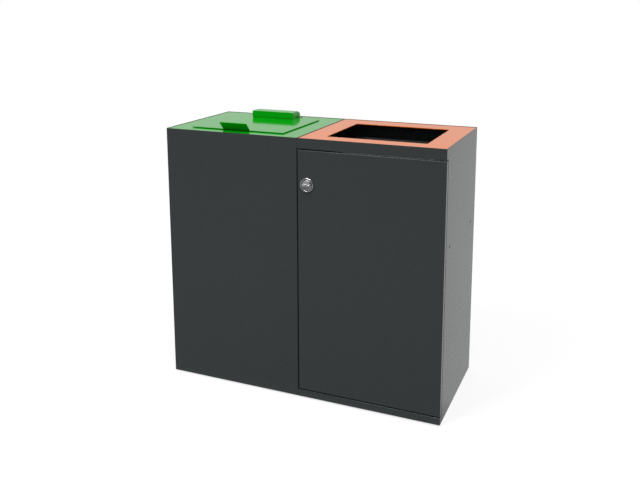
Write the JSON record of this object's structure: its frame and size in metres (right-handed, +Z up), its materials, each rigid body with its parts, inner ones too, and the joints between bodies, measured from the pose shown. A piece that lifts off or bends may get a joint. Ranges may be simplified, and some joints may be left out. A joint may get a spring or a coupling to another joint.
{
  "type": "recycling station",
  "caption": "Recycling station of paired steel cabinets: one top with a hinged lid, one with an open throw opening, locking doors, inner bins, levelling feet.",
  "frame": {"origin": "on the floor, under the middle of the two cabinets", "axes": "+X to the right seen from the front, +Y to the back, +Z up"},
  "size_m": [0.9, 0.4146, 0.8466],
  "materials": {
    "anthracite": "fine satin powder coat",
    "green": "glossy powder coat",
    "orange": "glossy powder coat",
    "chrome": "polished",
    "zinc": "zinc plated",
    "black_plastic": "fine textured",
    "nylon": "smooth",
    "rubber": "matt"
  },
  "bodies": {
    "cabinets": {"left_casing": "anthracite", "left_header_rail": "anthracite", "left_base_pan": "anthracite", "left_top_ledges": "anthracite", "left_top_nuts": "zinc", "left_top_frame": "green", "left_hinge_pins": "zinc", "left_door_bumpers": "rubber", "left_inner_bin": "black_plastic", "left_foot_nuts": "zinc", "right_casing": "anthracite", "right_header_rail": "anthracite", "right_base_pan": "anthracite", "right_top_ledges": "anthracite", "right_top_nuts": "zinc", "right_top_frame": "orange", "right_hinge_pins": "zinc", "right_door_bumpers": "rubber", "right_inner_bin": "black_plastic", "right_foot_nuts": "zinc", "joining_bolts": "zinc", "joining_nuts": "zinc", "lid_hinge_bracket": "green", "lid_hinge_bushes": "nylon", "lid_hinge_caps": "green", "bracket_screws": "zinc", "bracket_nuts": "zinc"},
    "left_door": {"left_door_panel": "anthracite", "left_door_stiffener": "anthracite", "left_hinge_bushes": "nylon", "left_lock_rose": "chrome", "left_lock_body": "zinc", "left_lock_nut": "zinc"},
    "left_knob": {"left_lock_knob": "chrome", "left_lock_cam": "zinc", "left_lock_cam_screw": "zinc"},
    "right_door": {"right_door_panel": "anthracite", "right_door_stiffener": "anthracite", "right_hinge_bushes": "nylon", "right_lock_rose": "chrome", "right_lock_body": "zinc", "right_lock_nut": "zinc"},
    "right_knob": {"right_lock_knob": "chrome", "right_lock_cam": "zinc", "right_lock_cam_screw": "zinc"},
    "lid": {"lid_panel": "green", "lid_pads": "rubber", "lid_hinge_cover": "green", "lid_hinge_leaf": "green", "lid_hinge_pin": "zinc", "lid_leaf_screws": "zinc"},
    "left_foot_1": {"left_foot_1": "black_plastic"},
    "left_foot_2": {"left_foot_2": "black_plastic"},
    "left_foot_3": {"left_foot_3": "black_plastic"},
    "left_foot_4": {"left_foot_4": "black_plastic"},
    "right_foot_1": {"right_foot_1": "black_plastic"},
    "right_foot_2": {"right_foot_2": "black_plastic"},
    "right_foot_3": {"right_foot_3": "black_plastic"},
    "right_foot_4": {"right_foot_4": "black_plastic"}
  },
  "joints": [
    {"name": "left_door_hinge", "type": "hinge", "parent": "cabinets", "child": "left_door", "pos_m": [-0.442, 0.185, 0.4075], "axis": [0, 0, 1], "range_deg": [0, 100]},
    {"name": "left_lock_turn", "type": "hinge", "parent": "left_door", "child": "left_knob", "pos_m": [-0.0334, 0.195, 0.6816], "axis": [0, -1, 0], "range_deg": [0, 90]},
    {"name": "right_door_hinge", "type": "hinge", "parent": "cabinets", "child": "right_door", "pos_m": [0.442, -0.185, 0.4075], "axis": [0, 0, 1], "range_deg": [0, 100]},
    {"name": "right_lock_turn", "type": "hinge", "parent": "right_door", "child": "right_knob", "pos_m": [0.0334, -0.195, 0.6816], "axis": [0, 1, 0], "range_deg": [0, 90]},
    {"name": "lid_hinge", "type": "hinge", "parent": "cabinets", "child": "lid", "pos_m": [-0.225, 0.1465, 0.83], "axis": [-1, 0, 0], "range_deg": [0, 85]},
    {"name": "left_foot_1_thread", "type": "hinge", "parent": "cabinets", "child": "left_foot_1", "pos_m": [-0.03, 0.165, 0], "axis": [0, 0, 1], "continuous": true},
    {"name": "left_foot_2_thread", "type": "hinge", "parent": "cabinets", "child": "left_foot_2", "pos_m": [-0.03, -0.165, 0], "axis": [0, 0, 1], "continuous": true},
    {"name": "left_foot_3_thread", "type": "hinge", "parent": "cabinets", "child": "left_foot_3", "pos_m": [-0.42, 0.165, 0], "axis": [0, 0, 1], "continuous": true},
    {"name": "left_foot_4_thread", "type": "hinge", "parent": "cabinets", "child": "left_foot_4", "pos_m": [-0.42, -0.165, 0], "axis": [0, 0, 1], "continuous": true},
    {"name": "right_foot_1_thread", "type": "hinge", "parent": "cabinets", "child": "right_foot_1", "pos_m": [0.03, -0.165, 0], "axis": [0, 0, 1], "continuous": true},
    {"name": "right_foot_2_thread", "type": "hinge", "parent": "cabinets", "child": "right_foot_2", "pos_m": [0.03, 0.165, 0], "axis": [0, 0, 1], "continuous": true},
    {"name": "right_foot_3_thread", "type": "hinge", "parent": "cabinets", "child": "right_foot_3", "pos_m": [0.42, -0.165, 0], "axis": [0, 0, 1], "continuous": true},
    {"name": "right_foot_4_thread", "type": "hinge", "parent": "cabinets", "child": "right_foot_4", "pos_m": [0.42, 0.165, 0], "axis": [0, 0, 1], "continuous": true}
  ]
}
